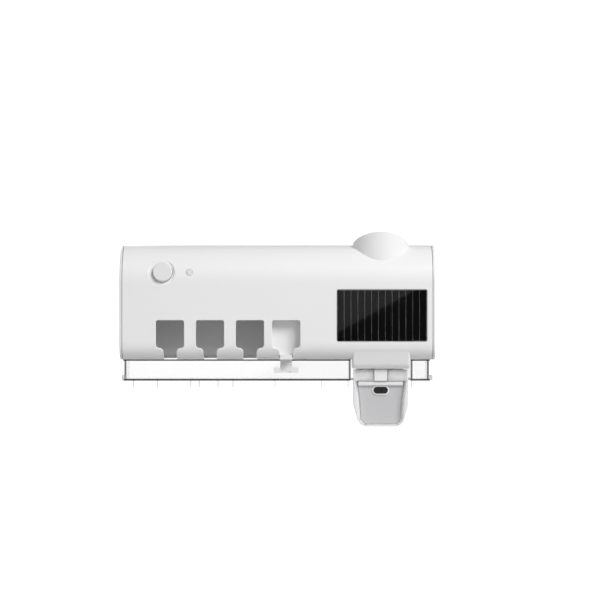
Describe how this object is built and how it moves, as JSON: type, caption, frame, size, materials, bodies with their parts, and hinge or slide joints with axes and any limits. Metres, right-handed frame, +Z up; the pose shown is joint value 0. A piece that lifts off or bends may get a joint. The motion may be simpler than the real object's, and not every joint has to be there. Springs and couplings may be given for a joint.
{
  "type": "toothbrush sanitizer",
  "caption": "Wall-mounted toothbrush sanitizer: white housing with brush slots, solar panel, push button, clear drip tray and a toothpaste dispenser with a push lever",
  "frame": {"origin": "centre of the wall contact face of the adhesive pads, at the middle of the housing's width and height", "axes": "+X to the right seen from the front, +Y into the wall, +Z up"},
  "size_m": [0.23, 0.0583, 0.1426],
  "materials": {
    "shell_white": "satin moulded ABS",
    "cap_white": "satin moulded ABS",
    "back_white": "fine textured ABS",
    "button_white": "satin moulded ABS",
    "plunger_black": "matte",
    "switch_black": "matte",
    "board_green": "solder mask",
    "lens_clear": "clear acrylic",
    "led_yellow": "clear epoxy",
    "component_black": "matte",
    "port_steel": "plated",
    "battery_blue": "shrink film",
    "cradle_grey": "matte",
    "contact_brass": "nickel plated",
    "solar_clear": "clear acrylic",
    "solar_backing": "matte laminate",
    "solar_cell": "dark silicon",
    "liner_grey": "satin grey",
    "lamp_board": "white solder mask",
    "window_clear": "clear acrylic",
    "insert_white": "satin",
    "socket_white": "satin",
    "silicone_white": "matte silicone",
    "silicone_clear": "translucent silicone",
    "pump_white": "satin",
    "lever_frosted": "frosted translucent",
    "lever_grey": "satin grey",
    "arm_white": "satin",
    "nozzle_white": "matte silicone",
    "valve_black": "matte silicone",
    "pin_steel": "ground",
    "spring_steel": "drawn wire",
    "tray_clear": "clear polystyrene",
    "bracket_white": "fine textured ABS",
    "pad_foam": "adhesive foam",
    "bumper_rubber": "matte",
    "screw_steel": "zinc plated",
    "lead_white": "insulation",
    "lead_red": "insulation",
    "lead_black": "insulation"
  },
  "bodies": {
    "bracket": {"wall_bracket": "bracket_white", "adhesive_pads": "pad_foam"},
    "button": {"power_button": "button_white", "switch_plunger": "plunger_black"},
    "lever": {"push_lever": "lever_frosted", "lever_face": "lever_grey", "lever_arm": "arm_white", "outlet_nozzle": "nozzle_white", "outlet_valve": "valve_black"},
    "tray": {"drip_tray": "tray_clear"},
    "housing": {"front_cover": "shell_white", "left_end_cap": "cap_white", "right_end_cap": "cap_white", "back_cover": "back_white", "tact_switch": "switch_black", "switch_board": "board_green", "indicator_lens": "lens_clear", "indicator_led": "led_yellow", "main_board": "board_green", "board_components": "component_black", "usb_port": "port_steel", "battery_cell": "battery_blue", "battery_cradle": "cradle_grey", "battery_contacts": "contact_brass", "solar_window": "solar_clear", "solar_backing": "solar_backing", "solar_cells": "solar_cell", "chamber_liner": "liner_grey", "uv_lamp_board": "lamp_board", "uv_leds": "led_yellow", "uv_window": "window_clear", "razor_holder": "insert_white", "tube_socket": "socket_white", "tube_seal": "silicone_white", "feed_hose": "silicone_clear", "pump_body": "pump_white", "inlet_valve": "silicone_white", "pump_bellows": "silicone_clear", "lever_hinge_pin": "pin_steel", "lever_return_spring": "spring_steel", "rear_bumpers": "bumper_rubber", "cover_screws": "screw_steel", "board_screws": "screw_steel", "pump_screws": "screw_steel", "uv_leads_pair": "lead_white", "battery_leads": "lead_red", "solar_leads": "lead_black", "switch_leads": "lead_white"}
  },
  "joints": [
    {"name": "housing_lift_off", "type": "slide", "parent": "bracket", "child": "housing", "axis": [0, 0, 1], "range_m": [0, 0.009]},
    {"name": "button_press", "type": "slide", "parent": "housing", "child": "button", "axis": [0, 0.9656, -0.2601], "range_m": [0, 0.0008], "stiffness_N_per_m": 1200, "springref_m": -0.0008},
    {"name": "lever_push", "type": "hinge", "parent": "housing", "child": "lever", "pos_m": [0.0756, -0.04, -0.043], "axis": [1, 0, 0], "range_deg": [0, 12], "stiffness_Nm_per_rad": 0.35, "springref_deg": -14.32, "deforming": ["pump_bellows", "lever_return_spring"]},
    {"name": "tray_pull_down", "type": "slide", "parent": "housing", "child": "tray", "axis": [0, 0, -1], "range_m": [0, 0.026]}
  ]
}
